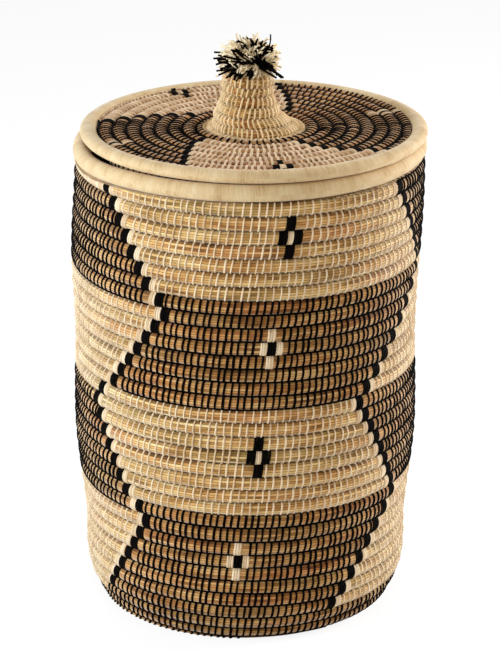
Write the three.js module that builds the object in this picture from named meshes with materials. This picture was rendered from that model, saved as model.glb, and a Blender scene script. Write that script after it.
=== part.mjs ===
// A tall laundry basket of coiled grass with a lift-off lid. One bundle of grass winds from the middle of
// the base out to the foot, then up the wall as a helix, each turn sewn to the turn before it. The lid is
// wound the same way, from the top of its knob down and outwards, and a yarn pom-pom is tied on the knob.
// Millimetres, +Z up. The origin is on the floor, under the middle of the outline. The front is towards -Y.
import * as THREE from "three";

// Clearances
const SEAM_GAP = 0.35; // air between two pieces that are sewn or rest against each other
const HOLE_CLEARANCE = 1.2; // air round the tie where it passes through the knob
const SOCKET_CLEARANCE = 0.4; // air round the tie inside the pom-pom
const COLLAR_PLAY = 7; // the collar is this much smaller than the rim, so that the lid drops in easily

// Wall: outside radii, and where they are measured
const WALL_HEIGHT = 529; // floor to the rim
const WALL_PITCH = 15.96; // rise of one turn
const WALL_THICKNESS = 15.4; // outside of a turn to its inside
const FOOT_RADIUS = 167; // at the floor
const HEEL_RADIUS = 180; // where the rounded foot ends
const HEEL_HEIGHT = 26;
const LOWER_RADIUS = 186.3;
const LOWER_HEIGHT = 104;
const BELLY_RADIUS = 196;
const BELLY_HEIGHT = 195;
const WAIST_RADIUS = 195.4;
const WAIST_DROP = 195; // below the top of the wall
const SHOULDER_RADIUS = 199;
const SHOULDER_DROP = 95; // below the top of the wall
const TOP_RADIUS = 197.3;
const LEAN = 5.6; // the body stands this far to the left of its rim, as woven by hand
const LEAN_DROP = 150; // the wall leans over this height below its top

// Grooves between turns
const OUTER_GROOVE = 3; // depth of the groove between two turns, outside
const INNER_GROOVE = 2.4; // the same, inside
const UNDER_GROOVE = 2.2; // the same, under the base
const CREST_START = 0.24; // share of a turn where the flat crest of its outside begins, and the groove ends
const RIDGE_AT = 0.5; // share of a turn where the ridge of its inside lies

// Rim: the last turn, wrapped all round in split palm
const RIM_OUTSET = 0.4; // its middle stands this far outside the middle of the wall
const RIM_COIL_WIDTH = 20;
const RIM_COIL_HEIGHT = 19.2;
const RIM_DIP = 5.5; // the rim sags by this much at its lowest place
const RIM_DIP_ANGLE = -78; // degrees from the front to that place, to the left
const RIM_DIP_SHARPNESS = 16; // a higher number makes the dip shorter

// Base
const BASE_PITCH = 15.8;
const BASE_THICKNESS = 13.5;

// Lid
const LID_INSET = 3.1; // the middle of its edge coil lies this far inside the middle of the rim
const LID_SHIFT = 4.5; // the lid lies this far to the right of the rim's centre
const EDGE_COIL_WIDTH = 18.6;
const EDGE_COIL_HEIGHT = 15;
const LID_PITCH = 15.7; // from turn to turn, outwards
const LID_FIRST_TURN = -0.14; // in front, the outermost groove lies this share of a turn past the edge coil
const LID_THICKNESS = 14;
const LID_DROP = 4.7; // the turns lie this far below the middle of the edge coil
const COLLAR_COIL = 14; // thickness of the ring under the lid that keeps it from sliding off

// Knob: outside radii and heights above the lid's turns
const KNOB_PITCH = 12.3;
const KNOB_THICKNESS = 10.6;
const KNOB_FOOT_RADIUS = 58; // where the knob flares into the lid
const KNOB_SKIRT_RADIUS = 47;
const KNOB_SKIRT_RISE = 13;
const KNOB_BASE_RADIUS = 36.5;
const KNOB_BASE_RISE = 24.5;
const KNOB_NECK_RADIUS = 28;
const KNOB_NECK_RISE = 50;
const KNOB_TOP_RADIUS = 29;
const KNOB_TOP_RISE = 64.5;
const KNOB_CROWN_RISE = 75.5; // the crown, under the pom-pom
const KNOB_LEAN = 7.5; // above its skirt the knob stands this far to the left of the lid's centre

// Pom-pom and the yarn that ties it
const POM_POM_RADIUS = 32.5;
const POM_POM_HEIGHT = 38; // above the knob's crown
const POM_POM_DRAPE = 11; // the yarn hangs this far below the knob's crown
const POM_POM_BELLY = 2.75; // its widest place lies this far above the crown
const POM_POM_SAG = 1.5; // its lower side sags this far below the drape
const POM_POM_TUCK = 1; // and is this much narrower halfway down to it
const POM_POM_SOCKET = 14; // depth to which the tie reaches into the pom-pom
const TIE_RADIUS = 3;
const KNOT_RADIUS = 7;
const KNOT_FLATTENING = 0.85; // height of the knot as a share of its width

// How finely round forms are cut
const ROUND_SIDES = 24; // wall, base, lid and rings share their corners, so that neighbours stay clear
const KNOB_SIDES = 16; // knob and pom-pom share theirs too
const OVAL_SIDES = 8; // a ring's section
const TIE_SIDES = 8;
const DOME_STEPS = 7; // of the pom-pom, from its widest place to its top
const KNOT_STEPS = 6;
const HOLLOW_STEP = 3; // length of a facet where the pom-pom follows the knob
const CURVE_SAMPLES = 400; // with which the length of a profile line is measured
const SNAP_SHARE = 1 / 60; // of a turn: a lobe's corner this near to an end of its line moves onto it
const SPARE_TURNS = 2; // looked at beyond both ends of a line, so that every turn is found
const HUB_START = 0.5; // turns from the middle of a closed coil to where its lobes begin to rise

const GRASS_LIGHT = 0xcaa56b;
const GRASS_DARK = 0x5e4a2f;
const PALM_CREAM = 0xe8d9b5;
const YARN_MIX = 0x6f6a5c;
const YARN_BLACK = 0x1c1a19;
const GRASS_ROUGHNESS = 0.85;
const PALM_ROUGHNESS = 0.7;
const YARN_ROUGHNESS = 0.95;

const { clamp, smoothstep } = THREE.MathUtils;
const FULL_TURN = 2 * Math.PI;

// A profile line in the half plane (radius, height), measured along itself from its start.
// It gives the point at a distance and the normal on its right, which is the outside of the piece.
function profileLine(points) {
  const corners = points.map(([r, z]) => new THREE.Vector3(r, z, 0));
  const curve = new THREE.CatmullRomCurve3(corners, false, "centripetal");
  curve.arcLengthDivisions = CURVE_SAMPLES;
  const length = curve.getLength();
  return {
    length,
    at(s) {
      const u = clamp(s / length, 0, 1);
      const point = curve.getPointAt(u);
      const tangent = curve.getTangentAt(u);
      return { point: new THREE.Vector2(point.x, point.y), normal: new THREE.Vector2(tangent.y, -tangent.x) };
    },
  };
}

// A nearly upright line given by its radius at some heights, measured by its height.
function uprightLine(stations) {
  const radii = stations.map(([radius]) => radius);
  const heights = stations.map(([, height]) => height);
  const radiusAt = new THREE.CubicInterpolant(heights, radii, 1, new Float64Array(1));
  return {
    length: heights[heights.length - 1],
    at: (s) => ({ point: new THREE.Vector2(radiusAt.evaluate(s)[0], s), normal: new THREE.Vector2(1, 0) }),
  };
}

// The height of a lobed section at a share of one turn, with straight lines between its corners.
function lobeAt(corners, share) {
  const phase = share - Math.floor(share);
  const next = corners.findIndex(([at]) => at > phase);
  const [b, heightB] = next < 0 ? [corners[0][0] + 1, corners[0][1]] : corners[next];
  const [a, heightA] = corners[(next < 0 ? corners.length : next) - 1];
  return heightA + ((heightB - heightA) * (phase - a)) / (b - a);
}

// A lobe with a groove at the start of each turn and a flat crest.
function fullLobe(halfThickness, groove) {
  return [[0, halfThickness - groove], [CREST_START, halfThickness], [1 - CREST_START, halfThickness]];
}

// A lobe with a groove at the start of each turn and a ridge.
function ridgeLobe(halfThickness, groove) {
  return [[0, halfThickness - groove], [RIDGE_AT, halfThickness]];
}

// A coil sewn to itself: a sheet that follows the profile line all round the axis, with lobes on both faces
// that wind as one helix, because each turn's groove lies at pitch * (turn + first - angle / 360). Seen from
// the front, the turns of a wall rise to the left. Each column of points runs up the outer face and back
// down the inner one, and a column after a full circle meets the first one a turn further on.
function sewnCoil({ line, end, pitch, first, outer, inner, sides, closed = false, shift }) {
  const snap = pitch * SNAP_SHARE;
  const turns = Math.ceil(line.length / pitch) + SPARE_TURNS;
  const firstTurn = -Math.ceil(Math.abs(first)) - SPARE_TURNS;
  const crestOf = (corners) => Math.max(...corners.map(([, height]) => height));

  function column(angle) {
    const last = end(angle);
    const start = pitch * (first - angle / FULL_TURN);
    const face = (corners, sign) => {
      const side = [];
      for (let turn = firstTurn; turn <= turns; turn++) {
        for (const [share] of corners) {
          let s = clamp(start + pitch * (turn + share), 0, last);
          if (s < snap) s = 0;
          if (last - s < snap) s = last;
          const crest = crestOf(corners);
          const lobe = lobeAt(corners, (s - start) / pitch);
          const ease = closed ? clamp(s / pitch - HUB_START, 0, 1) : 1;
          const { point, normal } = line.at(s);
          const out = sign * (crest + (lobe - crest) * ease);
          const radius = point.x + normal.x * out;
          const height = point.y + normal.y * out;
          side.push([radius * Math.sin(angle) + shift(height), -radius * Math.cos(angle), height]);
        }
      }
      return side;
    };
    return [...face(outer, 1), ...face(inner, -1).reverse()];
  }

  return closedSurface(anglesRound(sides).map(column));
}

// Angles from the front round to the front again, with +X at a quarter turn.
function anglesRound(sides) {
  return Array.from({ length: sides + 1 }, (_, i) => (FULL_TURN * i) / sides);
}

// A closed surface from columns of points that each go round a section, and together go round the axis.
// Points that fall on one another become one, and triangles that shrink to a line are left out.
function closedSurface(columns) {
  const positions = [];
  const index = new Map();
  const numberOf = (p) => {
    const key = p.map((value) => Math.round(value * 1e4)).join();
    if (!index.has(key)) {
      index.set(key, positions.length / 3);
      positions.push(...p);
    }
    return index.get(key);
  };
  const grid = columns.map((points) => points.map(numberOf));
  const faces = [];
  const addTriangle = (a, b, c) => {
    if (a !== b && b !== c && c !== a) faces.push(a, b, c);
  };
  for (let i = 0; i + 1 < grid.length; i++) {
    const count = grid[i].length;
    for (let j = 0; j < count; j++) {
      const k = (j + 1) % count;
      addTriangle(grid[i][j], grid[i + 1][j], grid[i][k]);
      addTriangle(grid[i + 1][j], grid[i + 1][k], grid[i][k]);
    }
  }
  const geometry = new THREE.BufferGeometry();
  geometry.setAttribute("position", new THREE.Float32BufferAttribute(positions, 3));
  geometry.setIndex(faces);
  geometry.computeVertexNormals();
  return geometry;
}

// A ring of oval section about the Z axis. Its middle lies at the height that levelAt gives for an angle.
function wrappedRing(centreRadius, width, height, levelAt) {
  const oval = new THREE.EllipseCurve(centreRadius, 0, width / 2, height / 2).getPoints(OVAL_SIDES).slice(1);
  const column = (angle) =>
    oval.map(({ x, y }) => [x * Math.sin(angle), -x * Math.cos(angle), y + levelAt(angle)]);
  return closedSurface(anglesRound(ROUND_SIDES).map(column));
}

function part(name, geometry, color, roughness) {
  const material = new THREE.MeshStandardMaterial({ color, roughness, metalness: 0 });
  const mesh = new THREE.Mesh(geometry, material);
  mesh.name = name;
  return mesh;
}

// Wall
const halfWall = WALL_THICKNESS / 2;
const wallLine = uprightLine([
  [FOOT_RADIUS - halfWall, 0],
  [HEEL_RADIUS - halfWall, HEEL_HEIGHT],
  [LOWER_RADIUS - halfWall, LOWER_HEIGHT],
  [BELLY_RADIUS - halfWall, BELLY_HEIGHT],
  [WAIST_RADIUS - halfWall, WALL_HEIGHT - WAIST_DROP],
  [SHOULDER_RADIUS - halfWall, WALL_HEIGHT - SHOULDER_DROP],
  [TOP_RADIUS - halfWall, WALL_HEIGHT],
]);
const leanAt = (height) => -LEAN * smoothstep(WALL_HEIGHT - height, 0, LEAN_DROP);
// The depth of the rim's dip at an angle: a power of a cosine wave, so it is level on the other side.
const dipAt = (angle) =>
  RIM_DIP * ((1 + Math.cos(angle - THREE.MathUtils.degToRad(RIM_DIP_ANGLE))) / 2) ** RIM_DIP_SHARPNESS;

function wallCoil() {
  return sewnCoil({
    line: wallLine,
    end: (angle) => WALL_HEIGHT - dipAt(angle),
    pitch: WALL_PITCH,
    first: WALL_HEIGHT / WALL_PITCH, // in front, a groove meets the rim
    outer: fullLobe(halfWall, OUTER_GROOVE),
    inner: ridgeLobe(halfWall, INNER_GROOVE),
    sides: ROUND_SIDES,
    shift: leanAt,
  });
}

// Base: a flat spiral that fills the foot of the wall, its turns worn flat where they rest
const halfBase = BASE_THICKNESS / 2;
const baseRadius = FOOT_RADIUS - WALL_THICKNESS - SEAM_GAP;

function baseCoil() {
  return sewnCoil({
    line: profileLine([[0, halfBase], [baseRadius / 2, halfBase], [baseRadius, halfBase]]),
    end: () => baseRadius,
    pitch: BASE_PITCH,
    first: 0,
    outer: fullLobe(halfBase, UNDER_GROOVE),
    inner: ridgeLobe(halfBase, INNER_GROOVE),
    sides: ROUND_SIDES,
    closed: true,
    shift: leanAt,
  });
}

// Rim, seated on the wall
const rimCentre = TOP_RADIUS - halfWall + RIM_OUTSET;
const rimHeight = WALL_HEIGHT + SEAM_GAP + RIM_COIL_HEIGHT / 2;

// Lid: its edge coil rests on the rim
const edgeCentre = rimCentre - LID_INSET;
const edgeHeight = rimHeight + RIM_COIL_HEIGHT / 2 + SEAM_GAP + EDGE_COIL_HEIGHT / 2;
const lidHeight = edgeHeight - LID_DROP;
const flatToCorner = 1 / Math.cos(Math.PI / ROUND_SIDES); // a round hole's flats have to clear what fills it
const lidInner = (KNOB_FOOT_RADIUS + SEAM_GAP) * flatToCorner;
const lidOuter = edgeCentre - EDGE_COIL_WIDTH / 2 - SEAM_GAP;

function lidCoil() {
  const halfLid = LID_THICKNESS / 2;
  const middle = (lidInner + lidOuter) / 2;
  return sewnCoil({
    line: profileLine([[lidOuter, lidHeight], [middle, lidHeight], [lidInner, lidHeight]]),
    end: () => lidOuter - lidInner,
    pitch: LID_PITCH,
    first: LID_FIRST_TURN,
    outer: fullLobe(halfLid, OUTER_GROOVE),
    inner: ridgeLobe(halfLid, INNER_GROOVE),
    sides: ROUND_SIDES,
    shift: () => LID_SHIFT,
  });
}

const collarCentre = rimCentre - RIM_COIL_WIDTH / 2 - COLLAR_PLAY - COLLAR_COIL / 2;
const collarHeight = lidHeight - LID_THICKNESS / 2 - SEAM_GAP - COLLAR_COIL / 2;

// Knob: the line runs from the foot up to the hole in the crown, along the middle of the coil
const halfKnob = KNOB_THICKNESS / 2;
const crownLine = lidHeight + KNOB_CROWN_RISE - halfKnob;
const crownTop = crownLine + halfKnob;
const crownSlope = halfKnob / 4; // the crown's last turn slopes, so its lower edge reaches further in
const holeLine = TIE_RADIUS + HOLE_CLEARANCE + crownSlope;
const knobLine = profileLine([
  [KNOB_FOOT_RADIUS, lidHeight],
  [(KNOB_FOOT_RADIUS + KNOB_SKIRT_RADIUS) / 2, lidHeight],
  [KNOB_SKIRT_RADIUS - halfKnob, lidHeight + KNOB_SKIRT_RISE - halfKnob],
  [KNOB_BASE_RADIUS - halfKnob, lidHeight + KNOB_BASE_RISE],
  [KNOB_NECK_RADIUS - halfKnob, lidHeight + KNOB_NECK_RISE],
  [KNOB_TOP_RADIUS - halfKnob, lidHeight + KNOB_TOP_RISE - crownSlope],
  [(KNOB_TOP_RADIUS + holeLine) / 2, crownLine - crownSlope],
  [holeLine, crownLine],
]);
// The knob leaves the lid upright, and has leant over where its skirt ends.
const knobShiftAt = (height) =>
  LID_SHIFT - KNOB_LEAN * smoothstep(height - lidHeight, LID_THICKNESS / 2, KNOB_BASE_RISE);
const crownShift = LID_SHIFT - KNOB_LEAN;

function knobCoil() {
  return sewnCoil({
    line: knobLine,
    end: () => knobLine.length,
    pitch: KNOB_PITCH,
    first: 0,
    outer: fullLobe(halfKnob, OUTER_GROOVE / 2),
    inner: ridgeLobe(halfKnob, INNER_GROOVE / 2),
    sides: KNOB_SIDES,
    shift: knobShiftAt,
  });
}

// Pom-pom: a ball of cut yarn, hollow below where it sits over the crown, with a socket for its tie
const knobOutside = [];
for (let s = knobLine.length; s > 0; s -= HOLLOW_STEP) {
  const { point, normal } = knobLine.at(s);
  const out = point.clone().addScaledVector(normal, halfKnob + SEAM_GAP);
  if (out.y < crownTop - POM_POM_DRAPE) break;
  knobOutside.push(out);
}
const socketTop = crownTop + POM_POM_SOCKET;
const socketRadius = TIE_RADIUS + SOCKET_CLEARANCE;

function pomPom() {
  const skirt = knobOutside[knobOutside.length - 1];
  const widest = crownTop + POM_POM_BELLY;
  const domeHeight = POM_POM_HEIGHT - POM_POM_BELLY;
  const dome = new THREE.EllipseCurve(0, widest, POM_POM_RADIUS, domeHeight, 0, Math.PI / 2);
  const profile = [
    new THREE.Vector2(0, socketTop),
    new THREE.Vector2(socketRadius, socketTop),
    new THREE.Vector2(socketRadius, knobOutside[0].y + SEAM_GAP),
    ...knobOutside,
    new THREE.Vector2((skirt.x + POM_POM_RADIUS) / 2, skirt.y - POM_POM_SAG),
    new THREE.Vector2(POM_POM_RADIUS - POM_POM_TUCK, (skirt.y + widest) / 2),
    ...dome.getPoints(DOME_STEPS),
  ];
  profile[profile.length - 1].x = 0;
  return new THREE.LatheGeometry(profile, KNOB_SIDES).rotateX(Math.PI / 2);
}

// Tie: a yarn through the hole in the crown, with a knot inside the knob
function pomPomTie() {
  const knotHalf = KNOT_RADIUS * KNOT_FLATTENING;
  const knotHeight = crownLine - halfKnob - SEAM_GAP - knotHalf;
  const meet = Math.asin(TIE_RADIUS / KNOT_RADIUS);
  const quarter = Math.PI / 2;
  const knot = new THREE.EllipseCurve(0, knotHeight, KNOT_RADIUS, knotHalf, -quarter, quarter - meet);
  const profile = [
    ...knot.getPoints(KNOT_STEPS),
    new THREE.Vector2(TIE_RADIUS, socketTop - SEAM_GAP),
    new THREE.Vector2(0, socketTop - SEAM_GAP),
  ];
  profile[0].x = 0;
  return new THREE.LatheGeometry(profile, TIE_SIDES).rotateX(Math.PI / 2);
}

const rimRing = wrappedRing(rimCentre, RIM_COIL_WIDTH, RIM_COIL_HEIGHT, (angle) => rimHeight - dipAt(angle));
const edgeRing = wrappedRing(edgeCentre, EDGE_COIL_WIDTH, EDGE_COIL_HEIGHT, () => edgeHeight);
const collarRing = wrappedRing(collarCentre, COLLAR_COIL, COLLAR_COIL, () => collarHeight);

const edge = part("lid_edge_coil", edgeRing, PALM_CREAM, PALM_ROUGHNESS);
const collar = part("lid_collar_coil", collarRing, GRASS_DARK, GRASS_ROUGHNESS);
for (const ring of [edge, collar]) ring.position.x = LID_SHIFT;
const pom = part("pom_pom", pomPom(), YARN_MIX, YARN_ROUGHNESS);
const tie = part("pom_pom_tie", pomPomTie(), YARN_BLACK, YARN_ROUGHNESS);
for (const piece of [pom, tie]) piece.position.x = crownShift;

const lid = new THREE.Group();
lid.add(part("lid_coil", lidCoil(), GRASS_DARK, GRASS_ROUGHNESS));
lid.add(edge, collar);
lid.add(part("knob_coil", knobCoil(), GRASS_LIGHT, GRASS_ROUGHNESS));
lid.add(pom, tie);

const basket = new THREE.Group();
basket.add(part("base_coil", baseCoil(), GRASS_LIGHT, GRASS_ROUGHNESS));
basket.add(part("wall_coil", wallCoil(), GRASS_LIGHT, GRASS_ROUGHNESS));
basket.add(part("rim_coil", rimRing, PALM_CREAM, PALM_ROUGHNESS));
basket.add(lid);

// The origin goes under the middle of the whole outline.
const middle = new THREE.Box3().setFromObject(basket, true).getCenter(new THREE.Vector3());
basket.position.set(-middle.x, -middle.y, 0);

export default basket;
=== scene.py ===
# %% [markdown]
# # A coiled laundry basket with a lid
# This lesson builds a tall round basket of coiled grass around a finished CAD frame. The frame gives every
# size and place. What it leaves to this script is the maker's work: the bundle of grass stems, the palm
# stitches that hold one turn to the next, the cream and black pattern, the wrapped rim and a pom-pom.
# All lengths are worked out in millimetres and turned to metres when a mesh is made.

# %% Load the frame
import math
from functools import partial
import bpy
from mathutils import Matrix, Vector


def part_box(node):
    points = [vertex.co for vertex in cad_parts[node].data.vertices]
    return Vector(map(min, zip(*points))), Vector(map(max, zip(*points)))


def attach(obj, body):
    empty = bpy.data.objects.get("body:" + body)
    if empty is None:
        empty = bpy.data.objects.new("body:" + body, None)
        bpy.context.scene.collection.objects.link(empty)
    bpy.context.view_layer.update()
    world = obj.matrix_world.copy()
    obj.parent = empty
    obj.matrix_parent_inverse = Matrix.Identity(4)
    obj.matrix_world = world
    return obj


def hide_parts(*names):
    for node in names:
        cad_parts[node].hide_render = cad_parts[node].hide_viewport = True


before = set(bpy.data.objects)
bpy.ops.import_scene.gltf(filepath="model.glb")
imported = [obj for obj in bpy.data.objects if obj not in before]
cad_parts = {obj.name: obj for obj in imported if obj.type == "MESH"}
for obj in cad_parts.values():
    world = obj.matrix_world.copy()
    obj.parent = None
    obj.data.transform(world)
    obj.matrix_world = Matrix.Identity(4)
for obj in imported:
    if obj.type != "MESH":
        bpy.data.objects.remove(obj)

from types import SimpleNamespace

import bpy
import numpy as np

MM = 0.001
TURN = 2 * np.pi  # a full turn in radians
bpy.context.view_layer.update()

# %% [markdown]
# ## Camera
# A long lens far away, a little above the rim, keeps the sides of the basket nearly parallel, as product
# photographs do. Its height, distance and pitch were fitted to the rows of the coil. The camera comes first,
# so that every piece can be judged through it.

# %% Camera
LENS = 166.82  # mm, on a sensor whose long side is 36 mm
CAMERA_DISTANCE = 3.36  # metres
CAMERA_HEIGHT = 1.548
CAMERA_PITCH = 20.265  # degrees down


def middle(node, axis):
    """The middle of a node's box along x, y or z, in millimetres."""
    return sum(getattr(corner, axis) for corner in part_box(node)) / 2 / MM


def show(name, data):
    """A new object in the scene, which shows its data."""
    thing = bpy.data.objects.new(name, data)
    bpy.context.collection.objects.link(thing)
    return thing


RIM_X = middle("rim_coil", "x")
LID_X = middle("lid_edge_coil", "x")
CROWN_X = middle("pom_pom", "x")

camera = show("camera", bpy.data.cameras.new("camera"))
camera.data.lens = LENS
camera.location = (RIM_X * MM, -CAMERA_DISTANCE, CAMERA_HEIGHT)
camera.rotation_euler = (math.radians(90 - CAMERA_PITCH), 0, 0)
bpy.context.scene.camera = camera
print("rim, lid and crown stand at x =", round(RIM_X, 1), round(LID_X, 1), round(CROWN_X, 1), "mm")

# %% [markdown]
# ## Sizes
# The same sizes as in the frame's model, because a stitch has to lie on the turn that it holds. The basket
# is a solid of revolution in the large: a radius at each height. The body leans a little away from its rim,
# its lowest turns have sunk under the weight, and the rim dips at one side.

# %% Sizes in millimetres
WALL_HEIGHT = 529.0
WALL_PITCH = 15.96
WALL_HALF = 7.7  # half the thickness of the wall
WALL_STATIONS = np.array([0, 26, 104, 195, 334, 434, 529.0])
WALL_RADII = np.array([167, 180, 186.3, 196, 195.4, 199, 197.3])
LEAN = 5.6  # to the left, reached this far below the rim:
LEAN_DROP = 150.0
FOOT_SAG = 3.2  # how far the turns have sunk below this height:
FOOT_SAG_TOP = 152.0
FOOT_SAG_FADES = (14.0, 32.0)  # heights over which the sag comes in at the floor and ends at the top

RIM_CENTRE = 190.0
RIM_WIDTH = 20.0
RIM_HEIGHT = 19.2
RIM_DIP = 5.5
RIM_DIP_ANGLE = math.radians(-78)
RIM_DIP_SHARPNESS = 16  # the power that keeps the dip short
EDGE_CENTRE = 186.9
EDGE_WIDTH = 18.6
EDGE_HEIGHT = 15.0
COLLAR_CENTRE = 166.0
COLLAR_COIL = 14.0

LID_PITCH = 15.7
LID_FIRST_TURN = -0.14  # where the outermost groove lies in front, in turns from the edge
LID_HALF = 7.0
LID_INNER = 58.9
LID_OUTER = 177.25
BASE_PITCH = 15.8
BASE_HALF = 6.75
BASE_OUTER = 151.25
KNOB_PITCH = 12.3
KNOB_HALF = 5.3
KNOB_BASE_RISE = 24.5  # the knob has leant over at this height above the lid

RIM_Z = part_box("rim_coil")[1].z / MM - RIM_HEIGHT / 2  # where the rim is level
EDGE_Z = middle("lid_edge_coil", "z")
LID_Z = middle("lid_coil", "z")
COLLAR_Z = middle("lid_collar_coil", "z")
CROWN_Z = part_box("knob_coil")[1].z / MM
print("heights of rim, edge, lid and crown:", [round(z, 1) for z in (RIM_Z, EDGE_Z, LID_Z, CROWN_Z)], "mm")

# %% [markdown]
# ## Smooth curves and small irregularities
# A hand-made profile is a curve through a few measured places. A Hermite cubic passes through all of them,
# and its slopes are the differences of the neighbours. Irregularity along the coil comes from a sum of
# sines, which never repeats within a turn and is the same at each run.


# %% Curves
def smooth_curve(at, stations, values):
    """A cubic between neighbouring stations, with the slope at each station from its two neighbours."""
    at = np.clip(at, stations[0], stations[-1])
    slopes = np.gradient(values, stations)
    i = np.clip(np.searchsorted(stations, at, side="right") - 1, 0, len(stations) - 2)
    gap = stations[i + 1] - stations[i]
    t = (at - stations[i]) / gap
    start = (1 + 2 * t) * (1 - t) ** 2 * values[i] + t * (1 - t) ** 2 * gap * slopes[i]
    return start + t**2 * (3 - 2 * t) * values[i + 1] + t**2 * (t - 1) * gap * slopes[i + 1]


def smoothstep(t):
    """0 below 0, 1 above 1, and 3 t squared less 2 t cubed between them."""
    t = np.clip(t, 0, 1)
    return t * t * (3 - 2 * t)


def wander(turned, seed):
    """A slow wave from -1 to 1 along a coil, a sum of sines of the angle turned, which share no measure."""
    waves = np.array([[2.31, 0.34], [5.17, 0.27], [9.73, 0.22], [17.9, 0.17]])
    return sum(size * np.sin(rate * turned + seed * (3 + 2 * rate)) for rate, size in waves)


def profile_line(corners, samples=400):
    """A smooth line through (radius, height) corners, measured by its length. It gives the place at a
    distance and the normal on the right of the way it runs, which is the outside of a piece."""
    corners = np.array(corners, float)
    chords = np.r_[0, np.cumsum(np.hypot(*np.diff(corners, axis=0).T) ** 0.5)]
    fine = np.linspace(0, chords[-1], samples)
    r, z = (smooth_curve(fine, chords, values) for values in corners.T)
    length = np.r_[0, np.cumsum(np.hypot(np.diff(r), np.diff(z)))]
    dr, dz = np.gradient(r, length), np.gradient(z, length)
    size = np.hypot(dr, dz)

    def line(s):
        return [np.interp(s, length, values) for values in (r, z, dz / size, -dr / size)]

    return line, length[-1]


# %% [markdown]
# ## The coil
# One bundle of grass winds round the axis, and each turn is sewn to the turn before it. Here it is a sheet:
# a line in the half plane of radius and height, carried round the axis, with a round lobe for every turn on
# both of its faces. The lobes wind as one helix, because a turn starts at the distance
# pitch x (turn - angle / 360) along the line.
# A place on it is two numbers: the angle from the front, and q, the turns climbed. The whole part of q is the
# row, and its fraction is how far up that row the point lies. Seen from the front the rows climb to the left,
# so the way along the coil is measured as 360 degrees x row - angle.


# %% The coil
class Coil(SimpleNamespace):
    """A sewn coil, given by its part (body, node and material slot), its line and the length of that, the
    pitch of its turns and the place of the first, half its thickness and the depth of its grooves at each
    face, and the shift of its axis along x."""

    sway, climb = 0.5, 1  # how far a turn's edges wander in mm, and the turns climbed in a full circle
    settle = staticmethod(lambda way: 0.0)  # how far a turn has sunk, in mm

    def distance(self, theta, q):
        """Distance along the line: pitch x (q + first - angle / full turn), with the turns' edges swaying,
        less how far the turns have sunk there."""
        row = np.floor(q)
        share = q - row
        low, high = (wander(TURN * edge - theta, self.seed) for edge in (row, row + 1))
        sway = self.sway * ((1 - share) * low + share * high)
        way = self.pitch * (q + self.first - self.climb * theta / TURN)
        return way + sway - self.settle(way)

    def clamp(self, theta, q):
        """q kept between the ends of the line, so that a lobe is cut off there and not squashed."""
        offset = self.first - self.climb * theta / TURN
        return np.clip(q, -offset, self.length(theta) / self.pitch - offset)

    def place(self, theta, q, out):
        """The point out from the sheet's middle at an angle and q: the line's point plus out x its normal,
        turned round the axis so that angle 0 is the front."""
        theta, q, out = np.broadcast_arrays(theta, q, out)
        r, z, normal_r, normal_z = self.line(np.clip(self.distance(theta, q), 0, self.length(theta)))
        r, z = r + normal_r * out, z + normal_z * out
        return np.stack([r * np.sin(theta) + self.shift(z), -r * np.cos(theta), z], -1)

    def face(self, share, side):
        """How far the lobe stands from the middle at a share of its row: full less groove x (1 - bulge),
        where the bulge is a half circle."""
        bulge = np.sqrt(np.clip(1 - (2 * share - 1) ** 2, 0, 1))
        return self.half - self.grooves[side] * (1 - bulge)

    def radius(self, theta, q):
        """Radius of the line at an angle and q."""
        return self.line(np.clip(self.distance(theta, q), 0, self.length(theta)))[0]

    def walk(self, start, end, step=0.02):
        """Angles turned, from start to end, and the length walked along the middle of the rows to each."""
        turned = np.arange(start, end, step)
        row, theta = row_and_angle(turned)
        r = self.radius(theta, row + 0.5)
        return turned, np.r_[0, np.cumsum((r[1:] + r[:-1]) / 2 * step)]


def row_and_angle(turned):
    """The row and the angle from the front that lie at an angle turned along a coil."""
    row = np.floor((turned + np.pi) / TURN)
    return row, TURN * row - turned


def dip_at(theta):
    """How far the rim sags at an angle: a power of a cosine wave, so the other side stays level."""
    return RIM_DIP * ((1 + np.cos(theta - RIM_DIP_ANGLE)) / 2) ** RIM_DIP_SHARPNESS


def wall_line(s):
    """The wall's middle: its radius at the height s, with a level normal."""
    return smooth_curve(s, WALL_STATIONS, WALL_RADII) - WALL_HALF, s, 1, 0


def lean_at(z):
    """Where the body's axis stands along x: it leans left below the rim."""
    return RIM_X - LEAN * smoothstep((WALL_HEIGHT - z) / LEAN_DROP)


def knob_x(z):
    """Where the knob's axis stands along x: over the lid's middle at its foot, and to the left above."""
    return LID_X + (CROWN_X - LID_X) * smoothstep((z - LID_Z - LID_HALF) / (KNOB_BASE_RISE - LID_HALF))


def wall_settle(way):
    """How far the wall's turns have sunk at a height: none at the floor, and none from a height on."""
    return FOOT_SAG * smoothstep((FOOT_SAG_TOP - way) / FOOT_SAG_FADES[1]) * smoothstep(way / FOOT_SAG_FADES[0])


wall = Coil(
    part=("basket", "wall_coil", "grass_coil"),
    line=wall_line, length=lambda theta: WALL_HEIGHT - dip_at(theta), pitch=WALL_PITCH,
    first=WALL_HEIGHT / WALL_PITCH, half=WALL_HALF, grooves=(5.8, 4.6), shift=lean_at, seed=1.0,
    settle=wall_settle,
)
base = Coil(
    part=("basket", "base_coil", "grass_coil"),
    line=lambda s: (s, BASE_HALF, 0, -1), length=lambda theta: BASE_OUTER, pitch=BASE_PITCH, first=0,
    half=BASE_HALF - 1.2, grooves=(1.8, 2.4), shift=lambda z: RIM_X - LEAN, seed=2.0, sway=0.4,
)
lid = Coil(
    part=("lid", "lid_coil", "dark_grass_coil"),
    line=lambda s: (LID_OUTER - s, LID_Z, 0, 1), length=lambda theta: LID_OUTER - LID_INNER,
    pitch=LID_PITCH, first=LID_FIRST_TURN, half=LID_HALF, grooves=(4.8, 4.2), shift=lambda z: LID_X, seed=3.0,
)
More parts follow.
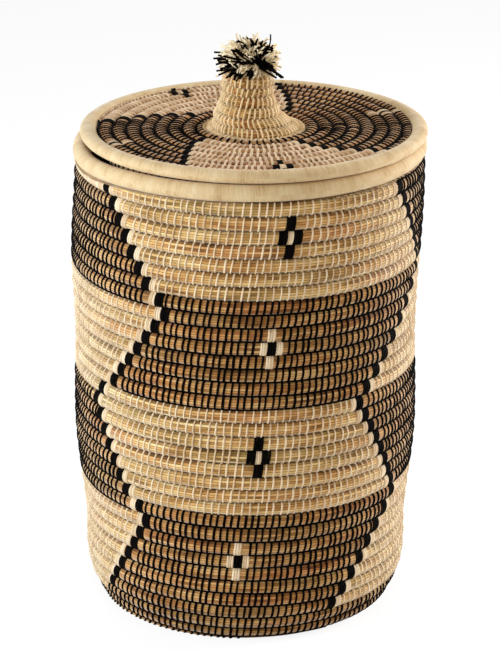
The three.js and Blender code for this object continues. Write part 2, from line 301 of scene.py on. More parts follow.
knob_line, KNOB_LENGTH = profile_line([
    (58.0, LID_Z), (52.5, LID_Z), (41.7, LID_Z + 7.7), (31.2, LID_Z + 24.5), (22.7, LID_Z + 50),
    (23.7, LID_Z + 63.2), (17.3, LID_Z + 68.9), (5.5, LID_Z + 70.2),
])
knob = Coil(
    part=("lid", "knob_coil", "grass_coil"),
    line=knob_line, length=lambda theta: KNOB_LENGTH, pitch=KNOB_PITCH, first=0, half=KNOB_HALF,
    grooves=(2.8, 1.6), shift=knob_x, seed=4.0,
)
collar = Coil(
    part=("lid", "lid_collar_coil", "dark_grass_coil"),
    line=lambda s: (COLLAR_CENTRE + 0 * s, COLLAR_Z - COLLAR_COIL / 2 + s, 1, 0),
    length=lambda theta: COLLAR_COIL, pitch=COLLAR_COIL, first=0, half=COLLAR_COIL / 2,
    grooves=(6.6, 6.6), shift=lambda z: LID_X, seed=6.0, sway=0.0, climb=0,
)
print("the knob's line is", round(KNOB_LENGTH, 1), "mm long")

# %% [markdown]
# ## From arrays to meshes
# A grid of points becomes quads by counting: the corners of quad (i, j) are its neighbours in the grid.
# Where a coil ends at the floor or under the rim its points are clipped onto that edge, so some quads shrink
# to a line. Welding merges points that fall on one another, and a face that keeps fewer than three corners
# is dropped. Each face corner carries its own UV, because neighbouring rows belong to different stems.


# %% Mesh helpers
def grid_quads(rows, columns, closed=False):
    """Corners of each quad of a grid as places (i, j), which run on past a closed edge. The columns are
    closed to a ring, and the rows where that is asked for."""
    i, j = np.indices((rows - (not closed), columns)).reshape(2, -1)
    return np.stack([i, i + 1, i + 1, i], -1), np.stack([j, j, j + 1, j + 1], -1)


def weld(points, quads, step=0.002):
    """Points that share a place to the step, in millimetres, become one. Gives the points, the quads, and
    which of the points were kept."""
    keys = np.round(points / step).astype(np.int64)
    _, first, back = np.unique(keys, axis=0, return_index=True, return_inverse=True)
    return points[first], back.ravel()[quads], first


def make_piece(name, points, quads, uv, tone, material, body, node, slot):
    """A mesh object from points in millimetres and quads, of which equal corners are left out. It rides on a
    body, stands for a CAD node, which it hides, and takes the material given. What would lie under the floor
    is pressed flat onto it. The slot is not used."""
    points = np.maximum(points, [-np.inf, -np.inf, 0])
    keep = quads != np.roll(quads, 1, axis=1)
    sizes = keep.sum(1)
    keep &= (sizes > 2)[:, None]
    sizes = sizes[sizes > 2]
    mesh = bpy.data.meshes.new(name)
    mesh.vertices.add(len(points))
    mesh.vertices.foreach_set("co", (points * MM).astype(np.float32).ravel())
    mesh.loops.add(int(sizes.sum()))
    mesh.loops.foreach_set("vertex_index", quads[keep].astype(np.int32))
    mesh.polygons.add(len(sizes))
    mesh.polygons.foreach_set("loop_start", np.r_[0, np.cumsum(sizes)[:-1]].astype(np.int32))
    mesh.shade_smooth()
    if uv is not None:
        mesh.uv_layers.new(name="along").data.foreach_set("uv", uv[keep].astype(np.float32).ravel())
    mesh.attributes.new("tone", "FLOAT", "POINT").data.foreach_set("value", tone.astype(np.float32))
    mesh.update(calc_edges=True)
    mesh.validate()
    mesh.materials.append(material)
    piece = show(name, mesh)
    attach(piece, body)
    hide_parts(node)
    print(name, "-", int((sizes - 2).sum()), "triangles")


# %% [markdown]
# ## Materials
# Grass stems, palm leaf and yarn are matte fibre: no metal, a rough surface, and colour that changes from
# stem to stem. One helper adds a node, sets it and links it. A colour is written as the hex value that a
# picture would show.


# %% Material helpers
def linear(hex_colour):
    """An sRGB hex colour as linear red, green, blue and alpha."""
    srgb = np.array([(hex_colour >> shift & 255) / 255 for shift in (16, 8, 0)])
    light = np.where(srgb <= 0.04045, srgb / 12.92, ((srgb + 0.055) / 1.055) ** 2.4)
    return (*light, 1.0)


def add_node(tree, kind, inputs=(), stops=(), out=0, to=None, **settings):
    """Adds a shader node and gives one of its outputs, which is linked to a socket where that is given.
    Inputs fill the sockets in use in order, a name with a capital fills that socket, one in small letters
    sets that property, and stops are a colour ramp's places and colours."""
    node = tree.nodes.new("ShaderNode" + kind)
    for name, value in settings.items():
        if name[0].islower():
            setattr(node, name, value)
    filled = [*zip((socket for socket in node.inputs if socket.enabled), inputs)]
    filled += [(node.inputs[name.replace("_", " ")], settings[name]) for name in settings if name[0].isupper()]
    for socket, value in filled:
        if isinstance(value, bpy.types.NodeSocket):
            tree.links.new(value, socket)
        else:
            socket.default_value = value
    for number, (place, colour) in enumerate(stops):
        element = node.color_ramp.elements[number] if number < 2 else node.color_ramp.elements.new(place)
        element.position, element.color = place, linear(colour)
    if to:
        tree.links.new(node.outputs[out], to)
    return node.outputs[out]


def new_material(name):
    """An empty node material, what adds a node to it, and the socket that takes its surface."""
    material = bpy.data.materials.new(name)
    material.use_nodes = True
    tree = material.node_tree
    tree.nodes.clear()
    return material, partial(add_node, tree), tree.nodes.new("ShaderNodeOutputMaterial").inputs[0]


# %% [markdown]
# ### Sun-dried grass stems
# The coil's filling is a bundle of grass stems, 2 to 3 mm thick. Along a stem the colour hardly changes,
# across the bundle it changes at every stem: straw, tan, golden brown and greenish, with painted shade in the
# gaps between stems and in the grooves between rows. The UV of the coil gives both directions: u is metres
# along the bundle and v is the share of the row, from its lower groove to its upper one. New grass is added
# all the time, so the tint also drifts along u. Where the surface turns away from the camera, towards the
# basket's sides, the colour is mixed towards pale straw: a painted sheen. Where the bundle is sewn in black it
# is darker, painted shade of the black stitches. The lid's grass has weathered to a pinkish grey, and the
# knob's has the strongest painted sheen.


# %% Grass material
STEMS_IN_ROW = 5.5


def grass_material(name, sewn_cream, sewn_black, painted_sheen_share=0.6):
    """Grass stems along u, multiplied by the colour given for where the bundle is sewn in cream and the one for
    where it is sewn in black, which also holds painted shade of the black stitches. At a low angle the colour
    is mixed towards pale straw by up to the share given, a painted sheen. The gaps between stems and the
    grooves between rows are darkened with painted shade."""
    material, add, surface = new_material(name)
    uv = add("UVMap", uv_map="along")
    u, v = (add("SeparateXYZ", [uv], out=axis) for axis in "XY")
    at = add("VectorMath", [uv, (16, 1, 0)], operation="MULTIPLY")  # a stem bends within 60 mm
    bend = add("TexNoise", Vector=at, Scale=1.0, Detail=2.0)
    across = add("Math", [v, STEMS_IN_ROW, bend], operation="MULTIPLY_ADD")
    stem = add("Math", [across], operation="FLOOR")
    at = add("CombineXYZ", [u, stem, 0.0])
    at = add("VectorMath", [at, (14, 7.3, 0)], operation="MULTIPLY")  # a streak is about 70 mm long
    streak = add("TexNoise", Vector=at, Scale=1.0, Detail=2.0, Roughness=0.6)
    at = add("VectorMath", [uv, (90, 24, 0)], operation="MULTIPLY")  # specks of 11 x 0.7 mm
    fine = add("TexNoise", Vector=at, Scale=1.0, Detail=3.0)
    at = add("VectorMath", [uv, (5, 0, 0)], operation="MULTIPLY")  # new grass every 200 mm
    patch = add("TexNoise", Vector=at, Scale=1.0, Detail=1.0)
    straw = add("ValToRGB", [streak], [
        (0.32, 0x7A5C34), (0.42, 0xA5824E), (0.50, 0xC8A670), (0.58, 0xDEBE8A), (0.70, 0xF0D8AC)])
    tint = add("ValToRGB", [patch], [
        (0.34, 0xA6AC88), (0.44, 0xBEB48C), (0.52, 0xDCC49C), (0.61, 0xD4AC7C), (0.70, 0xC48C58)])
    colour = add("Mix", [0.5, straw, tint], data_type="RGBA", blend_type="OVERLAY", out=2)
    # painted sheen: at a low angle the colour is mixed towards pale straw, 0xF6E4BE
    facing = add("LayerWeight", Blend=0.5, out="Facing")
    painted_sheen = add("MapRange", [facing, 0.25, 0.7, 0.0, painted_sheen_share])
    colour = add("Mix", [painted_sheen, colour, linear(0xF6E4BE)], data_type="RGBA", out=2)
    # tone is 1 where sewn in black, and that colour is painted shade of the black stitches; on the lid both
    # colours also hold its weathered grey
    tone = add("Attribute", attribute_name="tone", out="Fac")
    sewn_tint_and_painted_shade = add("ValToRGB", [tone], [(0.0, sewn_cream), (1.0, sewn_black)])
    colour = add("VectorMath", [colour, sewn_tint_and_painted_shade], operation="MULTIPLY")
    between = add("Math", [across, 0.5], operation="PINGPONG")  # 0 between stems, 0.5 in a stem's middle
    # painted shade in the gaps between stems
    gap = add("MapRange", [between, 0.0, 0.22, 0.26, 1.0])
    in_row = add("Math", [v, 0.5], operation="PINGPONG")  # 0 in a groove, 0.5 in the row's middle
    # painted shade in the grooves between rows
    groove = add("MapRange", [in_row, 0.0, 0.22, 0.34, 1.0])
    speckle = add("MapRange", [fine, 0.3, 0.7, 0.78, 1.28])
    # real speckles, times the painted shade of the gaps and the grooves
    shade = add("Math", [speckle, gap], operation="MULTIPLY")
    shade = add("Math", [shade, groove], operation="MULTIPLY")
    colour = add("VectorMath", [colour, shade], operation="SCALE")
    height = add("Math", [gap, fine], operation="MULTIPLY")
    bump = add("Bump", Strength=0.7, Distance=0.0008, Height=height)
    add("BsdfPrincipled", Base_Color=colour, Roughness=0.6, Normal=bump, Specular_IOR_Level=0.15,
        Sheen_Weight=0.5, Sheen_Roughness=0.35, to=surface)
    return material


# the second colour darkens the grass where it is sewn in black: painted shade of the black stitches
grass = grass_material("sun_dried_grass_stems", 0xFFFBF8, 0xEAD6C8)
lid_grass = grass_material("weathered_grass_stems", 0xD4B494, 0xCFAA7C)
# the knob's grass gets the strongest painted sheen
knob_grass = grass_material("knob_grass_stems_painted_sheen", 0xFFF8EC, 0xFFF8EC, painted_sheen_share=0.9)

# %% [markdown]
# ### Split palm and wool yarn
# The sewing strips are split palm leaf: flat, slightly glossy, nearly white when fresh, darker on the lid,
# which light has aged, and black when dyed. Each stitch has its own tone, stored on its points, so that no
# two neighbours are alike. The rim is wrapped with the same leaf, edge to edge, and shows fine lines across
# the coil. The pom-pom's wool yarn is matte, with a tone for each strand. Real fibres are finer than the
# picture shows, so they are drawn about 1 mm apart.


# %% Palm and yarn materials
def fibre_material(name, dark, light, roughness=0.6, gloss=0.2):
    """Strips or strands whose tone, from dark to light, is the piece's own attribute with a fine fibre
    noise of 1.4 mm."""
    material, add, surface = new_material(name)
    tone = add("Attribute", attribute_name="tone", out="Fac")
    fibre = add("TexNoise", Vector=add("TexCoord", out="Object"), Scale=700.0, Detail=2.0)
    mixed = add("Math", [fibre, 0.5, tone], operation="MULTIPLY_ADD")
    colour = add("ValToRGB", [mixed], [(0.25, dark), (1.0, light)])
    bump = add("Bump", Strength=0.3, Distance=0.0003, Height=fibre)
    add("BsdfPrincipled", Base_Color=colour, Roughness=roughness, Normal=bump, Specular_IOR_Level=gloss,
        to=surface)
    return material


def wrapping_material():
    """Palm leaf wound edge to edge round a coil: streaks across it, along v of its UV."""
    material, add, surface = new_material("wound_palm_leaf")
    uv = add("UVMap", uv_map="along")
    at = add("VectorMath", [uv, (1500, 3.5, 0)], operation="MULTIPLY")  # fibres 0.7 mm apart
    streak = add("TexNoise", Vector=at, Scale=1.0, Detail=3.0, Roughness=0.6)
    at = add("VectorMath", [uv, (40, 1, 0)], operation="MULTIPLY")  # a new leaf every 25 mm
    leaf = add("TexNoise", Vector=at, Scale=1.0, Detail=3.0)
    tone = add("Attribute", attribute_name="tone", out="Fac")
    mixed = add("Math", [leaf, 0.5], operation="MULTIPLY")
    mixed = add("Math", [streak, 0.5, mixed], operation="MULTIPLY_ADD")
    mixed = add("Math", [tone, 0.05, mixed], operation="MULTIPLY_ADD")
    colour = add("ValToRGB", [mixed], [
        (0.34, 0xA88354), (0.46, 0xD2B383), (0.58, 0xDEC597), (0.76, 0xEAD9B4)])
    bump = add("Bump", Strength=0.6, Distance=0.0006, Height=streak)
    add("BsdfPrincipled", Base_Color=colour, Roughness=0.65, Normal=bump, Specular_IOR_Level=0.15,
        Sheen_Weight=0.3, Sheen_Roughness=0.4, to=surface)
    return material


cream_palm = fibre_material("split_palm_natural", 0xCEB088, 0xEAD4B0)
fresh_palm = fibre_material("split_palm_fresh", 0xD8B886, 0xF2D6A8)
aged_palm = fibre_material("split_palm_aged", 0xC0A07A, 0xE4CAA6)
black_palm = fibre_material("split_palm_dyed_black", 0x030201, 0x0C0907, gloss=0.02)
wound_palm = wrapping_material()
cream_wool = fibre_material("wool_yarn_natural", 0xD6BE92, 0xFFF0CE, 0.9, 0.05)
black_wool = fibre_material("wool_yarn_black", 0x030202, 0x0C0A09, 0.9, 0.02)
print("materials:", [m.name for m in bpy.data.materials])

# %% [markdown]
# ## The pattern of the wall
# The pattern is counted by hand as the basket grows. Four zigzag lines cross four bands of rows, and the
# stitches between them change from cream to black or back at each line and each band. A line steps by about
# one block a row, where the coil is wrapped with no gaps: in black on the dark side and in cream on the light
# side. A cross in the middle of each field is wrapped in the other colour, and its heart in the field's own.
# A new band starts at the line on the left in front: to the left of it a row is part of the turn above.


# %% Wall pattern
BAND_STARTS = np.array([7, 15, 23, 31])  # rows from the top where bands 2, 3, 4 and the dark foot start
LEFT_LINE = ([0, 6, 8, 14, 16, 22, 24, 31], [-51.3, -32.1, -28.0, -50.3, -57.4, -42.4, -37.7, -60.9])
RIGHT_LINE = ([0, 6, 7, 14, 15, 22, 23, 30], [55.1, 73.3, 77.9, 45.5, 39.1, 57.3, 62.3, 34.1])
MEAN_LINES = np.array([-45, 57, 148, 226])  # degrees from the front, where the four lines lie on average
CROSS_ROWS = np.array([2, 10, 18, 26])
CROSS_ANGLES = np.array([13.1, 8.6, 4.4, -2.5])
FIELD_TURNS = (0, 97, 181, 254)  # from the front field's middle to the middles of the others
BLACK_BLOCK = 10.4
CREAM_BLOCK = 7.4
CROSSES = ((5.2, 12.9, 3.2, 0.6), (4.2, 12, 4.8, 2.0))  # arm, middle, heart and drift, on cream and on black
WRAP = 2.5  # width of one wrap in a block
WRAPPED_START = 420.0  # length of the top row, left of the first line, that is wrapped like the rim


def zigzag(turn):
    """The four lines' angles in degrees at a turn from the top: two as measured, two behind that follow
    their average swing."""
    left, right = np.interp(turn, *LEFT_LINE), np.interp(turn, *RIGHT_LINE)
    swing = (left - MEAN_LINES[0] + right - MEAN_LINES[1]) / 2
    return np.stack([left, right, MEAN_LINES[2] + swing, MEAN_LINES[3] + swing])


def band_of(turn):
    """0 to 3 for the four bands, and 4 for the foot."""
    return np.searchsorted(BAND_STARTS, turn, side="right")


def wall_is_dark(row, theta):
    """Whether a row of the wall's coil, -1 at the top, is sewn in black at an angle in degrees: in every
    other field."""
    row = -row - 1
    before = theta < zigzag(row)[0]
    turn, theta = row - before, theta + 360 * before
    field = (theta > zigzag(turn)[1:]).sum(0)
    return ((field + band_of(turn)) % 2 == 1) | (band_of(turn) == 4)


def block_pair(row, angle, dark_side, black=BLACK_BLOCK, cream=CREAM_BLOCK):
    """A black block on the dark side of a line, +1 or -1 for right or left, and a cream one on the other, as
    (row, angle in degrees, from, to in mm, black?)."""
    return [(row, angle, *sorted((0, dark_side * black)), True),
            (row, angle, *sorted((0, -dark_side * cream)), False)]


def cross_blocks(row, angle, on_dark, arm, middle, heart, drift=0):
    """A cross over three rows: an arm above and below, and a wide middle with a heart of the field's
    colour. The lower arm drifts left, because the stitches lean. All sizes are half widths."""
    colour = not on_dark
    return [
        (row - 1, angle, -arm, arm, colour), (row + 1, angle, -arm - drift, arm - drift, colour),
        (row, angle, -middle, -heart, colour), (row, angle, heart, middle, colour),
        (row, angle, -heart, heart, not colour),
    ]


def wall_blocks():
    """Blocks of close wraps on the wall, by its coil's rows. An angle past the back belongs to the row below.
    The first one is the start of the rim's wrapping, where the top row runs in under the rim."""
    blocks = [(0, LEFT_LINE[1][0], -BLACK_BLOCK - WRAPPED_START, -BLACK_BLOCK, False)]
    for turn in range(BAND_STARTS[-1]):
        for number, line in enumerate(zigzag(turn)):
            dark_side = 1 if (number + band_of(turn)) % 2 else -1
            past = line > 180
            blocks += block_pair(turn + past, line - 360 * past, dark_side)
    for row, angle in zip(CROSS_ROWS, CROSS_ANGLES):
        for field, turned in enumerate(FIELD_TURNS):
            past = angle + turned > 180
            on_dark = bool((field + band_of(row)) % 2)
            blocks += cross_blocks(row + past, angle + turned - 360 * past, on_dark, *CROSSES[on_dark])
    return [(-row - 1, *rest) for row, *rest in blocks]


print("blocks on the wall:", len(wall_blocks()))

# %% [markdown]
# ## Sewing
# A stitch runs round its row as a closed ring: up over the front lobe, through the upper groove, down the
# back lobe and out through the lower groove. Its top leans to the right. All stitches of a coil are made at
# once, as one array of stitch x place round the row x corner of the strip's section. They lie evenly, but
# edge to edge in a block. Black palm also shows in the lower groove, where it goes on to the next stitch.


# %% Where the stitches go
UNEVEN = 0.12  # how far a stitch lies off its place, as a share of the spacing
CLEAR = 0.42  # how far it keeps from a block, as a share of the spacing
WRAP_OVERLAP = 1.3  # a wrap's width against the space it has
LEAST_ROW = 0.08  # share of a row that has to be there for a stitch to go round it


def all_cream(row, theta):
    """No stitch is black."""
    return np.zeros(row.shape, bool)


def sew(coil, start, end, seed, spacing, widths=(2.4, 3.4), is_dark=all_cream, blocks=()):
    """Angle turned, blackness, width and whether it is in a block, for each stitch of a coil from one turn to
    another. Regular stitches lie a spacing apart where no block lies, and each block is filled with wraps of
    equal width. The spacings and widths are those of cream and black stitches, in millimetres."""
    turned, walked = coil.walk(start * TURN, end * TURN)
    rng = np.random.default_rng(seed)
    at, dark = [], []
    for black in (False, True):
        places = np.arange(spacing[black], walked[-1], spacing[black])
        places += rng.uniform(-UNEVEN, UNEVEN, len(places)) * spacing[black]
        row, theta = row_and_angle(np.interp(places, walked, turned))
        at.append(places[is_dark(row, np.degrees(theta)) == black])
        dark.append(np.full(len(at[-1]), black))
    at, dark = np.concatenate(at), np.concatenate(dark)
    rows, angles, lows, highs, colours = np.array(blocks, float).reshape(-1, 5).T
    middle = np.interp(TURN * rows - np.radians(angles), turned, walked)
    lows, highs = middle - highs, middle - lows
    clear = CLEAR * spacing[1]
    free = ~((at[:, None] > lows - clear) & (at[:, None] < highs + clear)).any(1)
    at, dark = at[free], dark[free]
    width = np.where(dark, widths[1], widths[0]) * rng.uniform(0.85, 1.15, len(at))
    counts = np.maximum(1, np.round((highs - lows) / WRAP)).astype(int)
    block = np.repeat(np.arange(len(counts)), counts)
    number = np.arange(len(block)) - (np.cumsum(counts) - counts)[block]
    wide = ((highs - lows) / counts)[block]
    angle = np.interp(np.r_[at, lows[block] + (number + 0.5) * wide], walked, turned)
    dark, width = np.r_[dark, colours[block] > 0], np.r_[width, wide * WRAP_OVERLAP]
    row, theta = row_and_angle(angle)
    shown = coil.clamp(theta, row + 1) - coil.clamp(theta, row) > LEAST_ROW
    return angle[shown], dark[shown], width[shown], (np.arange(len(angle)) >= len(at))[shown]


# %% Stitch meshes
STRIP_ACROSS = np.array([-0.5, -0.28, 0.28, 0.5])  # corners of a strip's section, as shares of its width
STRIP_RISE = np.array([-0.5, 1.0, 1.0, -0.5])  # and of its height


def outline(coil, front=6, back=4):
    """A row's section as a closed line of out and share: over the front lobe in even steps of its angle,
    and down the back lobe. With it comes the outward normal in the section."""
    up = (1 - np.cos(np.linspace(0, np.pi, front + 1))) / 2
    down = (1 + np.cos(np.linspace(0, np.pi, back + 1))) / 2
    share = np.r_[up, down]
    out = np.r_[coil.face(up, 0), -coil.face(down, 1)]
    along = share * coil.pitch
    step_out, step_along = (np.roll(v, -1) - np.roll(v, 1) for v in (out, along))
    size = np.hypot(step_out, step_along)
    return out, share, step_along / size, -step_out / size / coil.pitch


def stitch_rings(coil, angle, width, height, lean, seed):
    """Points and quads of closed rings round the rows. A corner of the strip lies off the row's section by
    the strip's height along the normal, and off the stitch's middle by a share of its width."""
    rng = np.random.default_rng(seed)
    out, share, normal_out, normal_share = (v[None, :, None] for v in outline(coil))
    row, theta = row_and_angle(angle)
    radius = coil.radius(theta, row + 0.5)[:, None, None]
    across = STRIP_ACROSS * width[:, None, None]
    thick = height * rng.uniform(0.85, 1.15, len(angle))[:, None, None]
    rise = STRIP_RISE * thick
    lean = (lean + rng.normal(0, 0.35, len(angle)))[:, None, None]
    turn = theta[:, None, None] + (lean * (share - 0.5) + across) / radius
    q = row[:, None, None] + share + normal_share * rise
    points = coil.place(turn, coil.clamp(turn, q), out + normal_out * rise)
    count, around = len(angle), out.shape[1]
    i, j = grid_quads(around, 4, closed=True)
    one = ((i % around) * 4 + j % 4)[:, ::-1]
    quads = (one + np.arange(count)[:, None, None] * around * 4).reshape(-1, 4)
    return points.reshape(-1, 3), quads, np.repeat(rng.uniform(0, 1, count), around * 4)


def tubes(paths, radius):
    """Closed four-sided tubes along paths, an array of strand x place x 3: four points about each place,
    square to the way the strand runs, and a flat end at each end."""
    sides = 4
    count, steps, _ = paths.shape
    run = np.gradient(paths, axis=1)
    run /= np.linalg.norm(run, axis=2, keepdims=True)
    side = np.cross(run, np.roll(run[:, :1], 1, axis=2) + [0.1, 0.2, 0.3])
    side /= np.linalg.norm(side, axis=2, keepdims=True)
    other = np.cross(run, side)
    turn = TURN * np.arange(sides) / sides
    ring = side[:, :, None] * np.cos(turn)[:, None] + other[:, :, None] * np.sin(turn)[:, None]
    points = paths[:, :, None] + ring * np.broadcast_to(radius, (count, steps))[:, :, None, None]
    i, j = grid_quads(steps, sides)
    body = (i * sides + j % sides)[:, ::-1]
    end = np.arange(sides)[None]
    one = np.concatenate([body, end[:, ::-1], end + (steps - 1) * sides])
    quads = (one + np.arange(count)[:, None, None] * steps * sides).reshape(-1, 4)
    return points.reshape(-1, 3), quads


def groove_threads(coil, angle, length, out):
    """The part of each black stitch that shows along the lower groove, on its way to the next stitch. The
    first row has no groove below it."""
    row, theta = row_and_angle(angle)
    inside = coil.clamp(theta, row - 0.1) < row - 0.05
    length, row, theta = length[inside], row[inside], theta[inside]
    along = np.linspace(-0.2, 1.05, 4)[None] * (length / coil.radius(theta, row))[:, None]
    turn = theta[:, None] + along
    q = coil.clamp(turn, row[:, None] + 0.03)
    return coil.place(turn, q, coil.face(np.array(0.0), 0) + out)


# %% The grass bundle
MEAN_RADIUS = 0.18  # metres, for a length along the bundle that goes on from turn to turn


def grass_sheet(coil, q_low, q_high, columns, across, is_dark=all_cream, hub=False):
    """A closed sheet of turns from q_low to q_high: angle x place round the section, up the front face and
    down the back one, with the two ends capped where the full circle closes. Its tone is 1 where the bundle
    is sewn in black. A hub is smooth in the middle, where the spiral starts."""
    theta = np.linspace(-np.pi, np.pi, columns + 1)[:, None]
    shares = (1 - np.cos(np.linspace(0, np.pi, across + 1)[:-1])) / 2
    q = np.r_[(np.arange(q_low, q_high)[:, None] + shares).ravel(), float(q_high)][None]
    q_here = coil.clamp(theta, q)
    share = q_here - np.floor(q_here)
    swell = 0.45 * wander(TURN * np.floor(q_here) - theta, coil.seed + 5) * np.sin(np.pi * share)
    front, back = coil.face(share, 0) + swell, coil.face(share, 1) - swell
    if hub:
        ease = np.clip(coil.distance(theta, q_here) / coil.pitch - 0.5, 0, 1)
        front, back = coil.half + (front - coil.half) * ease, coil.half + (back - coil.half) * ease
    points = coil.place(theta, np.c_[q_here, q_here[:, ::-1]], np.c_[front, -back[:, ::-1]])
    around = 2 * q.shape[1]
    i, j = grid_quads(columns + 1, around)
    k = np.arange(around // 2 - 1)
    cap = np.stack([k, k + 1, around - 2 - k, around - 1 - k], -1)
    i = np.concatenate([i, 0 * cap, 0 * cap + columns])
    j = np.concatenate([j, cap, cap[:, ::-1]])
    quads = i * around + j % around
    q_round = np.r_[q[0], q[0, ::-1]][j % around]
    row = np.floor(q_round.mean(1, keepdims=True) + 1e-6)
    u = (TURN * row - theta.ravel()[i]) * MEAN_RADIUS
    uv = np.stack([u, q_round - row + 2 * (j % around >= around // 2)], -1)
    dark = is_dark(np.floor(np.minimum(q_here + 1e-6, q_high - 1)), np.degrees(theta) + 0 * q_here)
    points, quads, kept = weld(points.reshape(-1, 3), quads)
    return points, quads, uv, np.c_[dark, dark[:, ::-1]].ravel()[kept].astype(float)


# %% [markdown]
# ## Wall
# Each of the wall's four bands of rows is a piece of its own, so that no mesh grows too large. Stitches are
# split by colour, because cream leaf and black leaf are two finishes.


# %% Build the wall
ROWS_OF_BANDS = [(-1, 7), (7, 15), (15, 23), (23, 34)]  # from the top, the last one not included
WALL_SPACING = (8.3, 7.6)
LEAN_OF_STITCH = 1.9
STITCH_HEIGHTS = (0.95, 1.15)  # cream and black
THREAD_RADIUS = 1.2
THREAD_OUT = 2.9
THREAD_TONE = 0.1


def sewn_pieces(name, coil, stitches, seed, cream=cream_palm, lean=LEAN_OF_STITCH):
    """The rings of each colour as a piece, the black ones with their threads along the grooves."""
    angle, dark, width, close = stitches
    for black, colour, material in ((0, "cream", cream), (1, "black", black_palm)):
        mine = dark == black
        if not mine.any():
            continue
        points, quads, tone = stitch_rings(
            coil, angle[mine], width[mine], STITCH_HEIGHTS[black], lean, seed + black)
        if black:
            apart = angle[dark & ~close]
            row, theta = row_and_angle(apart)
            spacing = np.median(np.diff(np.sort(apart))) * coil.radius(theta, row)
            thread_points, thread_quads = tubes(groove_threads(coil, apart, spacing, THREAD_OUT), THREAD_RADIUS)
            quads = np.concatenate([quads, thread_quads + len(points)])
            tone = np.r_[tone, np.full(len(thread_points), THREAD_TONE)]
            points = np.concatenate([points, thread_points])
        make_piece(f"{name}_{colour}_stitches", points, quads, None, tone, material, *coil.part)


wall_stitches = sew(wall, -34, 0.5, seed=11, spacing=WALL_SPACING, is_dark=wall_is_dark,
                    blocks=wall_blocks())
rows_of_stitches = -row_and_angle(wall_stitches[0])[0] - 1
print("stitches on the wall:", len(rows_of_stitches))
for number, (top, bottom) in enumerate(ROWS_OF_BANDS, 1):
    sheet = grass_sheet(wall, -bottom, -top, 288, 10, wall_is_dark)
    make_piece(f"wall_grass_band_{number}", *sheet, grass, *wall.part)
    chosen = (rows_of_stitches >= top) & (rows_of_stitches < bottom)
    sewn_pieces(f"wall_band_{number}", wall, [values[chosen] for values in wall_stitches], 20 + 2 * number)

# %% [markdown]
# ## Base
# The base is the start of the same bundle, a flat spiral from the middle out to the foot. Its stitches show
# when the lid is off or the basket lies on its side.

# %% Build the base
make_piece("base_grass", *grass_sheet(base, 0, 11, 144, 8, hub=True), grass, *base.part)
sewn_pieces("base", base, sew(base, 1, 10, seed=12, spacing=WALL_SPACING), seed=40)

# %% [markdown]
# ## Wrapped coils
# The rim and the edge of the lid are the last turn of each coil, wound with palm leaf so closely that no
# grass shows. Each is a ring of oval section. Its wraps are real ridges, and the leaf's fine lines come from
# the material. The lid's edge gets flatter towards the back. The collar is a thinner coil under the lid, sewn
# in black, which keeps the lid from sliding off.


# %% Rings
RIDGE = 0.3  # how far a wrap stands out in its middle


def ripple(theta, seed):
    """A slow wave round a closed ring, from -1 to 1: a sum of sines of whole numbers of waves."""
    return sum(size * np.sin(waves * theta + seed * waves) for waves, size in ((3, 0.4), (7, 0.3), (13, 0.3)))


def wrapped_ring(name, body, node, centre_x, radius, width, height, z, sag, thin, wraps, seed):
    """A ring of oval section wound with wraps. A wrap's place round the ring shifts along the section,
    because the leaf winds at a slant. The ring sags by a height that depends on the angle, and loses a share
    of its height towards the back, from the top."""
    columns, around = wraps * 4, 20
    theta = (TURN * np.arange(columns) / columns)[:, None]
    section = (TURN * np.arange(around) / around)[None]
    wound = wraps * theta / TURN + 0.9 * ripple(theta, seed) + section / TURN
    ridge = RIDGE * (np.abs(np.sin(np.pi * wound)) ** 0.7 - 1)
    swell = 1 + 0.012 * ripple(theta, seed + 2)
    reach = radius + (width / 2 + ridge) * swell * np.cos(section)
    loss = thin * smoothstep((1 - np.cos(theta)) / 2)
    lift = z - sag(theta) - loss * height / 2 + (height / 2 + ridge) * swell * np.sin(section) * (1 - loss)
    points = np.stack([centre_x + reach * np.sin(theta), -reach * np.cos(theta), lift], -1)
    i, j = grid_quads(columns, around, closed=True)
    quads = (i % columns) * around + j % around
    uv = np.stack([i * TURN * radius * MM / columns, j / around], -1)
    tone = np.random.default_rng(seed).uniform(0, 1, wraps + 8)[np.floor(wound).astype(int) % wraps]
    make_piece(name, points.reshape(-1, 3), quads, uv, tone.ravel(), wound_palm, body, node, "palm_wrapping")


wrapped_ring("rim_wrapping", "basket", "rim_coil", RIM_X, RIM_CENTRE, RIM_WIDTH, RIM_HEIGHT, RIM_Z,
             dip_at, 0.0, wraps=420, seed=51)
wrapped_ring("lid_edge_wrapping", "lid", "lid_edge_coil", LID_X, EDGE_CENTRE, EDGE_WIDTH, EDGE_HEIGHT, EDGE_Z,
             lambda theta: 0.0, 0.24, wraps=400, seed=52)

# %% Collar
make_piece("collar_grass", *grass_sheet(collar, 0, 1, 240, 10), grass, *collar.part)
collar_stitches = sew(collar, -0.5, 0.5, seed=13, spacing=(9.0, 9.0), widths=(2.4, 2.4),
                      is_dark=lambda row, theta: ~all_cream(row, theta))
sewn_pieces("collar", collar, collar_stitches, seed=44)

# %% [markdown]
# ## Lid
# The lid is a flat spiral. Its four lines swirl: a line turns with the radius, from the knob out to the edge.
# Round the knob's foot runs one row in black, and near the edge each field has its cross.

# %% Lid pattern
LID_RADII = (86, 112, 142, 172)
LID_LINES = (  # degrees from the front, of the four lines at those radii
    (-44.5, -36.4, -29.6, -24.8), (37.0, 40.8, 49.4, 56.2),
    (153.0, 160.7, 166.1, 171.8), (234.6, 245.6, 254.3, 262.8),
)
LID_CROSSES = ((1, 11.4), (1, 110.4), (0, -147.8), (0, -66))  # row from the edge, and angle
LID_CROSS_SIZES = ((3, 11, 3.6), (2.6, 8, 2.2))  # arm, middle and heart, on cream and on black
LID_BLOCKS = (8.4, 5.0)  # black and cream
FOOT_ROW_RADIUS = 73


